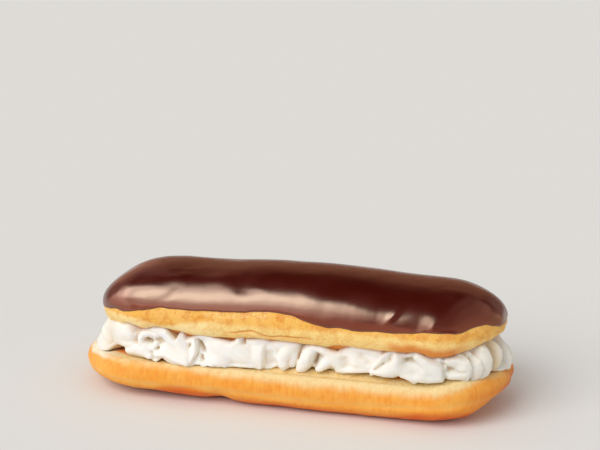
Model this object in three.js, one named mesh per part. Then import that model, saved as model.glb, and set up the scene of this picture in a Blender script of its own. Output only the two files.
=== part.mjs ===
// An eclair doughnut: one long doughnut split through the middle, filled with piped cream and
// iced with chocolate. Sizes are millimetres. X runs along the eclair, -Y is its front, and Z rises
// from the surface that it lies on.
import * as THREE from "three";
import { mergeVertices } from "three/addons/utils/BufferGeometryUtils.js";

// Driving dimensions

const joinGap = 0.3; // air left between pieces that touch
const ringPoints = 76; // points round each dough and icing ring

const bottom = {
  length: 150,
  width: 57,
  cornerRadius: 25,
  cutHeight: 13.4, // the cut face that the cream lies on
  bellyHeight: 8, // where the side is widest
  footInset: 13, // from the widest line in to the flat foot
  leftCurl: 1.9, // how far the ends curl up off the table
  leftCurlFrom: -15,
  rightCurl: 2.8,
  rightCurlFrom: 42,
  rimInset: 3.4, // from the widest line in to the flat cut face
  creaseHeight: 4.6, // the pale line that a doughnut gets where it floated in the fat
  creaseDepth: 0.5,
  creaseWidth: 0.9,
  dentDepth: 1.6, // a pinch in the lower edge of the front
  dentAt: -17,
  dentSpread: 4.5,
  dentFrom: 1, // height at which the pinch is deepest
};

const top = {
  length: 140.4,
  width: 53,
  cornerRadius: 24,
  shiftX: 1.9, // the lid sits a little to the right
  spineLeft: -34, // the dome closes on this line, so its left end slopes longer
  spineRight: 43.5,
  cutHeight: 24.4, // underside of the lid
  bellyHeight: 28.6, // where the side is widest, and where the dome starts
  lipInset: 3.6, // from the widest line in to the lip
  floorInset: 8, // from the widest line in to the flat underside
  leftLipRise: 0.9, // the lip thins towards both ends
  leftLipFrom: -35,
  rightLipRise: 2.4,
  rightLipFrom: 52,
  domeRise: 10.7, // from the widest line up to the crown
  domePower: 2.25, // 2 is an ellipse, more is squarer
  leftPower: 1.85, // the left end is the softest
  crownRise: 1.2, // extra height of the crown past the middle
  crownAt: 4,
  crownSpread: 34,
};

const icing = {
  thickness: 1.3,
  edgeShare: 0.35, // of the thickness, left at the lower edge
  taper: 0.3, // radians of the dome over which the skin gets its full thickness
};

// Height of the icing's lower edge, at places along the front from the left end to the right end.
const icingEdge = [
  { x: -68, z: 30.2 },
  { x: -56, z: 31.2 },
  { x: -43, z: 32.8 },
  { x: -22, z: 33.5 },
  { x: -4, z: 34.6 },
  { x: 7, z: 34.1 },
  { x: 20, z: 32.4 },
  { x: 40, z: 32.3 },
  { x: 57, z: 32.6 },
  { x: 67, z: 33.8 },
  { x: 72, z: 32.4 },
];

const cream = {
  length: 138.5,
  width: 45,
  cornerRadius: 20.5,
  shiftX: 2,
  rows: 12, // up the piped wall
  foldColumns: 8, // across each fold
  tuck: 3.2, // how far the wall draws in where it meets the dough
  sag: 0.85, // under 1 puts the fullest line below the middle
  swell: 0.6, // under 1 keeps the wall full almost to the dough
  foldReach: 0.34, // depth of a fold as a share of its width
  deepestFold: 4.2,
  foldAtDough: 0.35, // share of that depth left where the fold meets the dough
  crestSkew: 1.35, // over 1 leans each crest to the right, over its neighbour
  lean: 3.4, // sideways lean of the folds from foot to head
  leanTurns: 3, // how often the lean changes side round the outline
  leanPhase: 1,
  ridgeDepth: 0.6, // grooves left by the star nozzle
  ridges: 2.3,
  ridgeTwist: 0.7,
};

// Widths of the folds along the front, from the left end round to the right end, as they were piped.
const frontFolds = [16, 19, 6, 18, 9, 7.5, 6, 8, 13.5, 23, 14, 9, 8, 8];
const frontStart = -71; // along the outline from the middle of the front
const backFold = { width: 13.6, spread: 0.22, step: 2.4 }; // the far side is piped more evenly

// Slow waves that make the edges uneven. Turns are round the outline, sizes are millimetres.
const edgeWaves = [
  { turns: 9, size: 0.22, phase: 0.9 },
  { turns: 17, size: 0.14, phase: 4.1 },
];
const lipWaves = [
  { turns: 3, size: 0.3, phase: 0.4 },
  { turns: 8, size: 0.25, phase: 3.3 },
];
const sideWaves = [
  { turns: 3, size: 0.25, phase: 1.2 },
  { turns: 7, size: 0.18, phase: 5.0 },
];

// Helpers

const quarterTurn = Math.PI / 2;
const { clamp, lerp, smoothstep } = THREE.MathUtils;

function wave(share, waves) {
  let sum = 0;
  for (const { turns, size, phase } of waves) {
    sum += size * Math.sin(2 * Math.PI * turns * share + phase);
  }
  return sum;
}

function waveSize(waves) {
  return waves.reduce((sum, { size }) => sum + size, 0);
}

// A bump that is 1 at its centre and fades over the spread.
function bump(value, centre, spread) {
  const past = (value - centre) / spread;
  return Math.exp(-past * past);
}

// A rounded rectangle as a walk: the point and the outward angle at any distance round it, from the
// middle of the front towards the right end.
function planWalk({ length, width, cornerRadius }) {
  const straightX = length - 2 * cornerRadius;
  const straightY = width - 2 * cornerRadius;
  const arc = quarterTurn * cornerRadius;
  const corners = [
    { x: straightX / 2, y: -straightY / 2, next: straightY },
    { x: straightX / 2, y: straightY / 2, next: straightX },
    { x: -straightX / 2, y: straightY / 2, next: straightY },
    { x: -straightX / 2, y: -straightY / 2, next: straightX },
  ];
  const perimeter = 2 * (straightX + straightY) + 4 * arc;

  function at(along) {
    let left = THREE.MathUtils.euclideanModulo(along - straightX / 2, perimeter);
    for (let k = 0; k < corners.length; k++) {
      const { x, y, next } = corners[k];
      if (left <= arc + next || k === corners.length - 1) {
        const out = (k - 1 + Math.min(left / arc, 1)) * quarterTurn;
        const run = Math.max(left - arc, 0);
        return {
          x: x + cornerRadius * Math.cos(out) - run * Math.sin(out),
          y: y + cornerRadius * Math.sin(out) + run * Math.cos(out),
          out,
        };
      }
      left -= arc + next;
    }
  }
  return { perimeter, at };
}

// Points spaced evenly round a plan. Each knows its share of the way round, the way out, and the
// place on the middle line that its ring closes on.
function planRing(plan, spineLeft, spineRight) {
  const { perimeter, at } = planWalk(plan);
  const points = [];
  for (let i = 0; i < ringPoints; i++) {
    const share = (i + 0.5) / ringPoints;
    const point = at(share * perimeter);
    points.push({ ...point, share, spineX: clamp(point.x, spineLeft, spineRight) });
  }
  return points;
}

// A point of the plan drawn in towards the middle line: share 0 is the outline, 1 the line.
function drawIn(point, share, z) {
  return new THREE.Vector3(lerp(point.x, point.spineX, share), point.y * (1 - share), z);
}

// Smooth height through a list of places, level past its ends.
function heightAlong(places, x) {
  const last = places.length - 1;
  const next = places.findIndex((place) => place.x > x);
  if (next === 0) return places[0].z;
  if (next < 0) return places[last].z;
  const from = places[next - 1];
  const to = places[next];
  return lerp(from.z, to.z, smoothstep(x, from.x, to.x));
}

// The side wall between rings of equal length, as corner numbers for an index.
function wallIndex(ringCount, count) {
  const index = [];
  for (let j = 0; j + 1 < ringCount; j++) {
    for (let i = 0; i < count; i++) {
      const next = (i + 1) % count;
      const a = j * count + i;
      const b = j * count + next;
      index.push(a, b, b + count, a, b + count, a + count);
    }
  }
  return index;
}

function solidFrom(rings, index) {
  const positions = rings.flat().flatMap((point) => point.toArray());
  const geometry = new THREE.BufferGeometry();
  geometry.setAttribute("position", new THREE.Float32BufferAttribute(positions, 3));
  geometry.setIndex(index);
  return geometry;
}

// A closed solid through rings whose first and last lie on the middle line. The triangles that lose
// an edge where a ring closes on that line are dropped.
function spineLoft(rings) {
  const geometry = mergeVertices(solidFrom(rings, wallIndex(rings.length, rings[0].length)), 1e-3);
  const corners = geometry.index.array;
  const kept = [];
  for (let k = 0; k < corners.length; k += 3) {
    const [a, b, c] = [corners[k], corners[k + 1], corners[k + 2]];
    if (a !== b && b !== c && c !== a) kept.push(a, b, c);
  }
  geometry.setIndex(kept);
  geometry.computeVertexNormals();
  return geometry;
}

// A closed solid through rings whose first and last are level, and are filled in flat.
function flatLoft(rings) {
  const count = rings[0].length;
  const index = wallIndex(rings.length, count);
  const fill = (ring, first, flip) => {
    const contour = ring.map(({ x, y }) => new THREE.Vector2(x, y));
    for (const [a, b, c] of THREE.ShapeUtils.triangulateShape(contour, [])) {
      index.push(first + a, first + (flip ? c : b), first + (flip ? b : c));
    }
  };
  fill(rings[0], 0, true);
  fill(rings.at(-1), (rings.length - 1) * count, false);
  const geometry = solidFrom(rings, index);
  geometry.computeVertexNormals();
  return geometry;
}

// Bottom half of the doughnut

function bottomHalf() {
  const bellySteps = 6;
  const shoulderSteps = 3;
  const halfWidth = bottom.width / 2;
  const spineEnd = (bottom.length - bottom.width) / 2;
  const plan = planRing(bottom, -spineEnd, spineEnd);
  const endX = bottom.length / 2;
  const footHeight = (x) => {
    const left = bottom.leftCurl * smoothstep(-x, -bottom.leftCurlFrom, endX);
    const right = bottom.rightCurl * smoothstep(x, bottom.rightCurlFrom, endX);
    return left + right;
  };
  // The sides waver inwards only, so that the length and width stay true.
  const relief = ({ x, y, out, share }, height) => {
    const fade = Math.sin((Math.PI * height) / bottom.cutHeight);
    const waver = Math.abs(Math.sin(out)) * (waveSize(sideWaves) + wave(share, sideWaves));
    const crease = bottom.creaseDepth * bump(height, bottom.creaseHeight, bottom.creaseWidth);
    const low = y < 0 ? 1 - smoothstep(height, bottom.dentFrom, bottom.bellyHeight) : 0;
    const dent = bottom.dentDepth * low * bump(x, bottom.dentAt, bottom.dentSpread);
    return fade * waver + crease + dent;
  };

  const rings = [plan.map((point) => drawIn(point, 1, footHeight(point.spineX)))];
  for (let k = 0; k <= bellySteps; k++) {
    const turn = (k / bellySteps) * quarterTurn;
    rings.push(
      plan.map((point) => {
        const foot = footHeight(point.x);
        const height = lerp(bottom.bellyHeight, foot, Math.cos(turn));
        const inset = bottom.footInset * (1 - Math.sin(turn)) + relief(point, height);
        return drawIn(point, inset / halfWidth, height);
      }),
    );
  }
  for (let k = 1; k <= shoulderSteps; k++) {
    const turn = (k / shoulderSteps) * quarterTurn;
    const height = lerp(bottom.bellyHeight, bottom.cutHeight, Math.sin(turn));
    const inset = bottom.rimInset * (1 - Math.cos(turn));
    rings.push(plan.map((point) => drawIn(point, (inset + relief(point, height)) / halfWidth, height)));
  }
  rings.push(plan.map((point) => drawIn(point, 1, bottom.cutHeight)));
  return spineLoft(rings);
}

// Top half, whose dome the icing follows

function crownHeight(x) {
  return top.domeRise + top.crownRise * bump(x, top.crownAt, top.crownSpread);
}

function powerAt(x) {
  return lerp(top.leftPower, top.domePower, smoothstep(x, -top.length / 2, top.spineLeft));
}

// A point of the dome: turn 0 is the widest line and a quarter turn the crown. lift stands off it.
function domePoint(point, turn, lift) {
  const halfWidth = top.width / 2;
  const rise = crownHeight(point.spineX);
  const root = 2 / powerAt(point.x);
  const across = Math.cos(turn) ** root;
  const up = Math.sin(turn) ** root;
  const normal = new THREE.Vector2(
    Math.cos(turn) ** (2 - root) / halfWidth,
    Math.sin(turn) ** (2 - root) / rise,
  ).normalize();
  const share = 1 - across - (lift * normal.x) / halfWidth;
  return drawIn(point, share, top.bellyHeight + rise * up + lift * normal.y);
}

// How far up the dome a height lies, as a turn.
function domeTurn(point, height) {
  const up = (height - top.bellyHeight) / crownHeight(point.spineX);
  return Math.asin(clamp(up, 0, 1) ** (powerAt(point.x) / 2));
}

function topHalf() {
  const lipSteps = 3;
  const domeSteps = 7;
  const towardsCrown = 0.8; // under 1 sets the rings closer near the crown
  const halfWidth = top.width / 2;
  const endX = top.length / 2;
  const plan = planRing(top, top.spineLeft, top.spineRight);
  const lipHeight = ({ x, share }) => {
    const uneven = waveSize(lipWaves) + wave(share, lipWaves);
    const left = top.leftLipRise * smoothstep(-x, -top.leftLipFrom, endX);
    const right = top.rightLipRise * smoothstep(x, top.rightLipFrom, endX);
    return top.cutHeight + uneven + left + right;
  };

  const rings = [plan.map((point) => drawIn(point, 1, top.cutHeight))];
  rings.push(plan.map((point) => drawIn(point, top.floorInset / halfWidth, top.cutHeight)));
  for (let k = 0; k < lipSteps; k++) {
    const turn = (k / lipSteps) * quarterTurn;
    const inset = top.lipInset * (1 - Math.sin(turn));
    rings.push(
      plan.map((point) => {
        const height = lerp(top.bellyHeight, lipHeight(point), Math.cos(turn));
        return drawIn(point, inset / halfWidth, height);
      }),
    );
  }
  for (let k = 0; k <= domeSteps; k++) {
    const turn = (k / domeSteps) ** towardsCrown * quarterTurn;
    rings.push(plan.map((point) => domePoint(point, turn, 0)));
  }
  return spineLoft(rings);
}

// Chocolate icing, a skin over the dome that thins to its lower edge

function icingSkin() {
  const innerSteps = 5;
  const outerSteps = 7;
  const towardsEdge = 1.4; // over 1 sets the rings closer near the lower edge
  const plan = planRing(top, top.spineLeft, top.spineRight);
  const edgeTurns = plan.map((point) => {
    const height = heightAlong(icingEdge, point.x + top.shiftX) + wave(point.share, edgeWaves);
    return domeTurn(point, height);
  });
  const ringAt = (climb, liftOf) =>
    plan.map((point, i) => {
      const turn = lerp(edgeTurns[i], quarterTurn, climb);
      return domePoint(point, turn, liftOf(turn - edgeTurns[i]));
    });
  const outerLift = (past) => {
    const share = lerp(icing.edgeShare, 1, smoothstep(past, 0, icing.taper));
    return joinGap + icing.thickness * share;
  };

  const rings = [];
  for (let k = 0; k <= innerSteps; k++) {
    rings.push(ringAt(1 - k / innerSteps, () => joinGap));
  }
  for (let k = 0; k <= outerSteps; k++) {
    rings.push(ringAt((k / outerSteps) ** towardsEdge, outerLift));
  }
  return spineLoft(rings);
}

// Cream, one band of star-nozzle folds that shows all the way round

// The folds in order round the plan, each with where it starts and how wide it is.
function foldsRound(perimeter) {
  const frontLength = frontFolds.reduce((sum, width) => sum + width, 0);
  const backLength = perimeter - frontLength;
  const backCount = Math.round(backLength / backFold.width);
  const backShares = [];
  for (let k = 0; k < backCount; k++) {
    backShares.push(1 + backFold.spread * Math.sin(backFold.step * k));
  }
  const shareSum = backShares.reduce((sum, share) => sum + share, 0);
  const backWidths = backShares.map((share) => (share * backLength) / shareSum);
  let start = frontStart;
  return [...frontFolds, ...backWidths].map((width) => {
    const fold = { start, width };
    start += width;
    return fold;
  });
}

// How far the wall stands out, at a share of a fold's width and of the wall's height.
function creamReach({ width }, across, rise) {
  const swell = Math.max(Math.sin(Math.PI * rise ** cream.sag), 0) ** cream.swell;
  const skewed = 2 * across ** cream.crestSkew - 1;
  const crest = Math.sqrt(1 - skewed * skewed);
  const depth = Math.min(cream.foldReach * width, cream.deepestFold);
  const groove = Math.cos(2 * Math.PI * (cream.ridges * rise + cream.ridgeTwist * across));
  const ridge = cream.ridgeDepth * swell * crest * groove;
  const fold = depth * crest * lerp(cream.foldAtDough, 1, swell);
  return fold + ridge - cream.tuck * (1 - swell);
}

function creamBand() {
  const { perimeter, at } = planWalk(cream);
  const folds = foldsRound(perimeter);
  const foot = bottom.cutHeight + joinGap;
  const head = top.cutHeight - joinGap;
  const rings = [];
  for (let k = 0; k <= cream.rows; k++) {
    const rise = k / cream.rows;
    const ring = [];
    for (const fold of folds) {
      for (let column = 0; column < cream.foldColumns; column++) {
        const across = column / cream.foldColumns;
        const along = fold.start + across * fold.width;
        const leanTurn = (2 * Math.PI * cream.leanTurns * along) / perimeter + cream.leanPhase;
        const lean = cream.lean * (rise - 0.5) * Math.sin(leanTurn);
        const reach = creamReach(fold, across, rise);
        const { x, y, out } = at(along + lean);
        const z = lerp(foot, head, rise);
        ring.push(new THREE.Vector3(x + reach * Math.cos(out), y + reach * Math.sin(out), z));
      }
    }
    rings.push(ring);
  }
  return flatLoft(rings);
}

// Assembly

function piece(name, geometry, colour, roughness, shiftX = 0) {
  const material = new THREE.MeshStandardMaterial({ color: colour, roughness, metalness: 0 });
  const mesh = new THREE.Mesh(geometry, material);
  mesh.name = name;
  mesh.position.x = shiftX;
  return mesh;
}

const eclair = new THREE.Group();
eclair.add(piece("bottom_half", bottomHalf(), 0xe8a852, 0.75));
eclair.add(piece("cream_filling", creamBand(), 0xf6f3ea, 0.55, cream.shiftX));
eclair.add(piece("top_half", topHalf(), 0xebb765, 0.75, top.shiftX));
eclair.add(piece("chocolate_icing", icingSkin(), 0x4a1c14, 0.25, top.shiftX));

export default eclair;
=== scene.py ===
# Eclair doughnut: two fried dough halves, a band of piped cream and a skin of chocolate icing
import itertools
import math

import bmesh
import bpy
import numpy as np
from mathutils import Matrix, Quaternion, Vector


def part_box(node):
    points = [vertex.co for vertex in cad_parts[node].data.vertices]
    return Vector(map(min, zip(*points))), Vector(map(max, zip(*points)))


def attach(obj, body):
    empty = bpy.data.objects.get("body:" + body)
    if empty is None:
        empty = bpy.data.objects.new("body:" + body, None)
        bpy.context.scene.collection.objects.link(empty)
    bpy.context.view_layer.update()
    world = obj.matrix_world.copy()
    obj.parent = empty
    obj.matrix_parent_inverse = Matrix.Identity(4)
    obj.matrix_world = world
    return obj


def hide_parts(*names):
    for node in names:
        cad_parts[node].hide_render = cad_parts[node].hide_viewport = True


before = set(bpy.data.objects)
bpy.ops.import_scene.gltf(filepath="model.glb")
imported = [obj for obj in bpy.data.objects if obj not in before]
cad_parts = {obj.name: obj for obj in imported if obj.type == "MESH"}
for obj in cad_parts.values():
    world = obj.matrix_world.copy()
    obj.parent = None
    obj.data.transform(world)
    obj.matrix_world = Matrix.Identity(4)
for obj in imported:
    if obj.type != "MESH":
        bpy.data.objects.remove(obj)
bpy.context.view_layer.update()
mm = 0.001  # the sizes in this file are millimetres, and meshes are made in metres
quarterTurn = math.pi / 2
print("frame loaded:", sorted(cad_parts))


# Numbers that every piece uses

def ease(value, low, high):  # 0 below low, 1 above high, smooth between
    t = np.clip((value - low) / (high - low), 0, 1)
    return t * t * (3 - 2 * t)


def climb(value, amount, low, high):  # the same, up to an amount
    return amount * ease(value, low, high)


def within(value, start, full, fade, end):  # 1 from full to fade, 0 before start and after end
    return ease(value, start, full) * (1 - ease(value, fade, end))


def bump(value, centre, spread):  # 1 at the centre, falling away on both sides
    return np.exp(-(((value - centre) / spread) ** 2))


def mix(a, b, share):
    return a + (b - a) * share


def nodeSize(name):  # lowest corner, highest corner and middle of a node, in millimetres
    low, high = (np.array(corner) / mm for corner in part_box(name))
    return low, high, (low + high) / 2


def lumps(points, size, seed):  # smooth noise from -1 to 1, with lumps about that size
    cells = 24
    grid = np.random.default_rng(seed).uniform(-1, 1, (cells, cells, cells))
    cell = np.floor(points / size).astype(int)
    part = points / size - cell
    part = part * part * (3 - 2 * part)
    total = 0
    for corner in itertools.product((0, 1), repeat=3):
        weight = np.prod(np.where(corner, part, 1 - part), axis=-1)
        at = (cell + corner) % cells
        total = total + weight * grid[at[..., 0], at[..., 1], at[..., 2]]
    return total


def roughen(points, layers):  # lumps added up, each with its height, size and seed
    return sum(height * lumps(points, size, seed) for height, size, seed in layers)


def heightAlong(places, x, softness=3.0):  # height through (x, z) places, with soft bends
    end, step, reach = 100, 0.5, 20
    fine = np.arange(-end, end, step)
    heights = np.interp(fine, *np.array(places).T)
    kernel = bump(np.arange(-reach, reach + 1) * step, 0, softness)
    soft = np.convolve(np.pad(heights, reach, "edge"), kernel / kernel.sum(), "valid")
    return np.interp(x, fine, soft)


class Outline:  # a rounded rectangle, walked from the middle of the front towards the right end
    def __init__(self, length, width, corner):
        runX, runY, arc = length - 2 * corner, width - 2 * corner, quarterTurn * corner
        steps = [runX / 2, arc, runY, arc, runX, arc, runY, arc, runX / 2]
        self.marks = np.concatenate([[0], np.cumsum(steps)])
        self.round = self.marks[-1]
        self.corner = corner
        self.turns = np.array([-1, -1, 0, 0, 1, 1, 2, 2, 3, 3]) * quarterTurn
        self.middleX = np.array([0, 1, 1, 1, 1, -1, -1, -1, -1, 0]) * runX / 2
        self.middleY = np.array([-1, -1, -1, 1, 1, 1, 1, -1, -1, -1]) * runY / 2

    def at(self, along, out=0.0):  # x, y and the outward angle, a distance out from the line
        along = np.mod(along, self.round)
        turn = np.interp(along, self.marks, self.turns)
        reach = self.corner + out
        x = np.interp(along, self.marks, self.middleX) + reach * np.cos(turn)
        y = np.interp(along, self.marks, self.middleY) + reach * np.sin(turn)
        return x, y, turn


class Ring:  # points spaced evenly round an outline, each with its place on the middle line
    def __init__(self, outline, count, spineLeft, spineRight):
        self.share = (np.arange(count) + 0.5) / count
        self.x, self.y, self.turn = outline.at(self.share * outline.round)
        self.spineX = np.clip(self.x, spineLeft, spineRight)

    def drawIn(self, share, z):  # share 0 is the outline and 1 the middle line
        x = mix(self.x, self.spineX, share)
        return np.stack([x, self.y * (1 - share), np.broadcast_to(z, x.shape)], -1)


def axes(rings):  # x, y and z of every point
    return np.moveaxis(rings, -1, 0)


def pushOut(rings, relief, first, last=0):  # along the normals, but not the hidden first and last rings
    shown = np.zeros((len(rings), 1))
    shown[first:len(rings) - last] = 1
    aside = np.roll(rings, -1, 1) - np.roll(rings, 1, 1)
    normals = np.cross(aside, np.gradient(rings, axis=0))
    normals = normals / np.maximum(np.linalg.norm(normals, axis=-1, keepdims=True), 1e-9)
    normals[-1] = (0, 0, 1)  # the last ring closes on the middle line
    return rings + normals * (relief * shown)[..., None]


def addObject(name, data):
    made = bpy.data.objects.new(name, data)
    bpy.context.scene.collection.objects.link(made)
    return made


def loftPiece(name, rings, marks):  # rings that start and end closed on the middle line
    layers, count = rings.shape[:2]
    number = np.arange(layers * count).reshape(layers, count)
    across = np.roll(number, -1, 1)
    faces = np.stack([number[:-1], across[:-1], across[1:], number[1:]], -1).reshape(-1, 4)
    mesh = bpy.data.meshes.new(name)
    mesh.from_pydata(rings.reshape(-1, 3) * mm, [], faces.tolist())
    for label, values in marks.items():
        values = values.reshape(-1).astype(np.float32)
        mesh.attributes.new(label, "FLOAT", "POINT").data.foreach_set("value", values)
    shape = bmesh.new()
    shape.from_mesh(mesh)
    bmesh.ops.remove_doubles(shape, verts=shape.verts, dist=1e-7)
    bmesh.ops.dissolve_degenerate(shape, edges=shape.edges, dist=1e-8)
    bmesh.ops.recalc_face_normals(shape, faces=shape.faces)
    shape.to_mesh(mesh)
    shape.free()
    mesh.shade_smooth()
    print(name, "has", len(mesh.polygons), "faces")
    return addObject(name, mesh)


def dress(piece, node, finish):
    piece.data.materials.append(finish)
    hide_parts(node)
    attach(piece, "root")


# Shader maths

class Tone:  # one socket, so that sums on surface values read as sums
    def __init__(self, tree, socket=None):
        self.tree = tree
        self.socket = socket

    def node(self, kind, settings=None, sockets=None, output=0):
        made = self.tree.nodes.new(kind)
        for key, value in (settings or {}).items():
            setattr(made, key, value)
        for key, value in (sockets or {}).items():
            if isinstance(value, Tone):
                self.tree.links.new(value.socket, made.inputs[key])
            else:
                made.inputs[key].default_value = value
        return Tone(self.tree, made.outputs[output] if made.outputs else None)

    def sum(self, operation, first, second):
        return self.node("ShaderNodeMath", {"operation": operation}, {0: first, 1: second})

    def __add__(self, other):
        return self.sum("ADD", self, other)

    def __radd__(self, other):
        return self.sum("ADD", other, self)

    def __sub__(self, other):
        return self.sum("SUBTRACT", self, other)

    def __rsub__(self, other):
        return self.sum("SUBTRACT", other, self)

    def __mul__(self, other):
        return self.sum("MULTIPLY", self, other)

    def __rmul__(self, other):
        return self.sum("MULTIPLY", other, self)

    def between(self, low, high):  # 0 at low, 1 at high, smooth
        settings = {"interpolation_type": "SMOOTHSTEP"}
        return self.node("ShaderNodeMapRange", settings, {"Value": self, "From Min": low, "From Max": high})

    def blend(self, under, over):  # colours, with this value as the share of the second
        settings = {"data_type": "RGBA", "clamp_factor": True}
        return self.node("ShaderNodeMix", settings, {0: self, 6: under, 7: over}, output=2)


def paint(red, green, blue):  # a colour as it looks on screen, 0 to 255
    def linear(value):
        share = value / 255
        return share / 12.92 if share <= 0.04045 else ((share + 0.055) / 1.055) ** 2.4
    return (linear(red), linear(green), linear(blue), 1.0)


def newFinish(name):
    material = bpy.data.materials.new(name)
    material.use_nodes = True
    material.node_tree.nodes.clear()
    return material, Tone(material.node_tree)


def noiseTone(tone, size, detail, stretch=(1, 1, 1)):  # grain about that size
    place = tone.node("ShaderNodeTexCoord", output="Object")
    scaled = tone.node("ShaderNodeVectorMath", {"operation": "MULTIPLY"},
                       {0: place, 1: tuple(s / (size * mm) for s in stretch)})
    return tone.node("ShaderNodeTexNoise", {"noise_dimensions": "3D"},
                     {"Vector": scaled, "Scale": 1.0, "Detail": detail, "Roughness": 0.55})


def markTone(tone, label):  # a value stored on the mesh's points
    return tone.node("ShaderNodeAttribute", {"attribute_name": label}, output="Fac")


def bumpNormal(tone, height, strength, distance):  # distance in millimetres
    sockets = {"Strength": strength, "Distance": distance * mm, "Height": height}
    return tone.node("ShaderNodeBump", None, sockets)


def layMarks(tone, colour, colours, shares):  # the colours of these marks, one over another
    for label, share in shares.items():
        colour = (markTone(tone, label) * share).blend(colour, colours[label])
    return colour


def closeFinish(tone, surface, colour, rough, **more):
    sockets = {**surface, "Base Color": colour, "Roughness": rough, **more}
    shader = tone.node("ShaderNodeBsdfPrincipled", None, sockets)
    tone.node("ShaderNodeOutputMaterial", None, {"Surface": shader})


# Bottom half

bottomHalf = {
    "corner": 25.0, "points": 720,
    "bellyHeight": 8.0,  # widest line
    "bellyLift": (2.4, 58, 75),  # of that line at the right end: amount, from x, to x
    "leftFootInset": 13.0, "footInset": 10.0,  # widest line in to the flat foot
    "footChange": (-20, -8),  # x over which the one gives way to the other
    "rimInset": 3.4,  # widest line in to the cut face
    # hidden rings and the end of the closely ringed cut face, as shares of the way in
    "underMiddle": (1, 0.8, 0.65), "shelfEnd": 0.5, "topMiddle": (0.75, 1),
    "footLayers": 44, "rimLayers": 30, "shelfLayers": 20,
    "leftCurl": 1.9, "leftCurlFrom": -15.0,
    "rightCurl": 1.6, "rightCurlFrom": 36.0, "tipCurl": 6.6, "tipCurlFrom": 64.5,
    "leftDrop": (1.2, 60, 76), "rightLift": (2.4, 50, 64), "liftFront": (1, 10),  # of the rim
    "shelfRise": 0.9,  # of the cut face towards the cream
    "shelfRiseAlong": (-14, 0, 54, 66), "shelfRiseIn": (4, 9),
    "waver": 0.43, "waves": [(0.25, 3, 1.2), (0.18, 7, 5)],  # of the sides: depth, number, phase
    "creaseDepth": 0.32, "creaseWidth": 0.8,
    "pinchDepth": 2.7, "pinchAt": -20.5, "pinchSpread": 4.0,
    "wrinkleDepth": 0.25, "wrinkleIn": 4.0, "wrinkleWidth": 0.5, "wrinkleAlong": (-6, 2, 30, 42),
    # lumps as (height, size, seed)
    "relief": [(0.22, 9, 1), (0.09, 3.4, 2), (0.03, 1.3, 3)],
    "crumbRelief": [(0.12, 1.8, 6), (0.07, 0.9, 7)],
    "ringLumps": [(0.6, 4.5, 4)], "ringStreaks": [(0.45, 1.3, 5)], "wrinkleLumps": [(0.5, 6, 9)],
    # cream wiped on the rim of the left end, up to the cut face
    "smearAlong": (54, 66), "smearUp": (-1.2, -0.1), "smearLumps": [(0.4, 2.5, 8)],
    # how far in the cut face gets painted shade under the cream, where its foot lies further in or out
    "insideFrom": 6.4, "insideDeep": 11.0, "deepAlong": (-4, 8, 30, 38),
    "insideOut": 1.8, "outAlong": (-50, -46, -24, -20), "insideEnd": (-69, -64),
    "insideFade": 1.5, "lowFade": 3.6, "ringFade": (-1.8, 1.4), "lineUp": 0.5, "lineWidth": 0.9,
    # painted shade on the lower side of the right end: share, from x and to x, then the heights over which
    # it fades
    "endShade": (0.5, 58, 72), "endShadeTop": (10, 14),
    # heights along x: top of the deep colour above the foot, the pale line, and where the pale ring starts
    "lowTop": [
        (-70, 2.5), (-46, 3.2), (-38, 7.4), (-28, 7.6), (-21, 4.2), (0, 5), (20, 4.2), (38, 4), (48, 6.8),
        (70, 5.6),
    ],
    "creaseHeight": [
        (-70, 7.6), (-56, 6.6), (-40, 5.8), (-20, 6.3), (1, 5.4), (19, 5.1), (30, 6.0), (42, 6.5),
        (52, 7.2), (64, 8.6),
    ],
    "ringFrom": [
        (-60, 14.8), (-53, 13.2), (-44, 12.8), (-38, 12.6), (-26, 12.3), (-17, 12.0), (-9, 11.5),
        (8, 11.5), (20, 11.2), (45, 11.4), (55, 12.0), (61, 13.4), (66, 15.5),
    ],
}


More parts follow.
